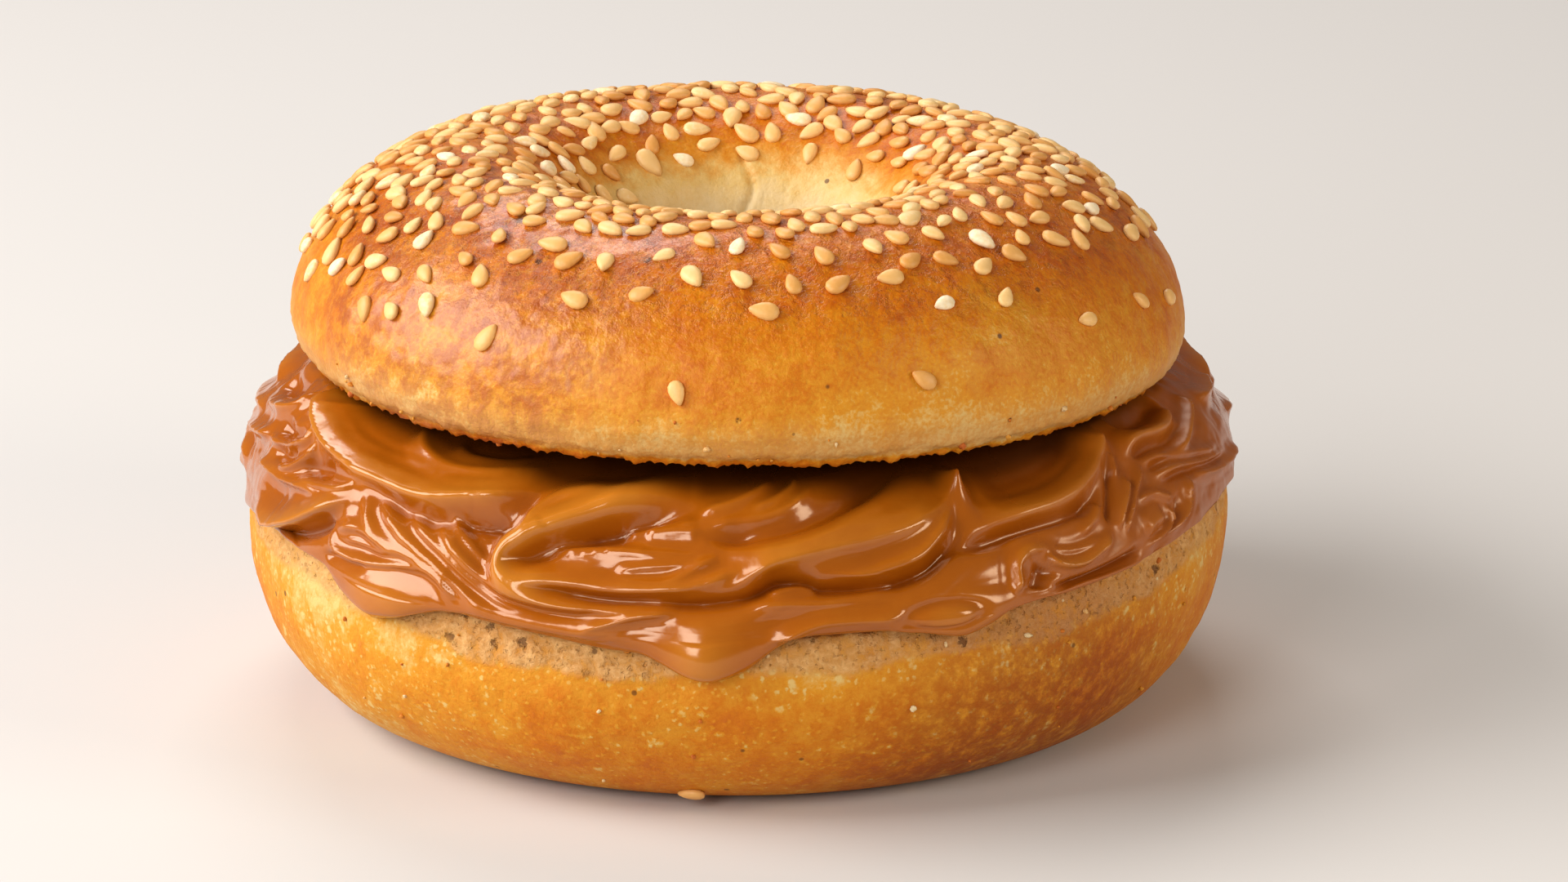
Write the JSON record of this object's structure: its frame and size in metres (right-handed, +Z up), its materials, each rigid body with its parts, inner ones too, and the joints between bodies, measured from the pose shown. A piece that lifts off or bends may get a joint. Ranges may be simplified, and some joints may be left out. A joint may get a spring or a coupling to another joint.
{
  "type": "sesame bagel with caramel spread",
  "caption": "Sliced sesame bagel closed again over a thick, swirled layer of caramel spread that hangs over the rim of the lower half.",
  "frame": {"origin": "centre of the flat foot on the surface the bagel rests on", "axes": "+Z up along the axis of the hole, -Y towards the front, where the spread hangs lowest, +X to the right"},
  "size_m": [0.1161, 0.1197, 0.064],
  "materials": {
    "crust": "baked golden bread crust, satin, with a paler band along the cut rim",
    "seeded_crust": "baked golden-brown bread crust with a light egg-wash sheen and toasted sesame seeds",
    "spread": "smooth glossy caramel-brown spread"
  },
  "bodies": {
    "root": {"bottom_half": "crust", "spread": "spread", "top_half": "seeded_crust"}
  },
  "joints": []
}
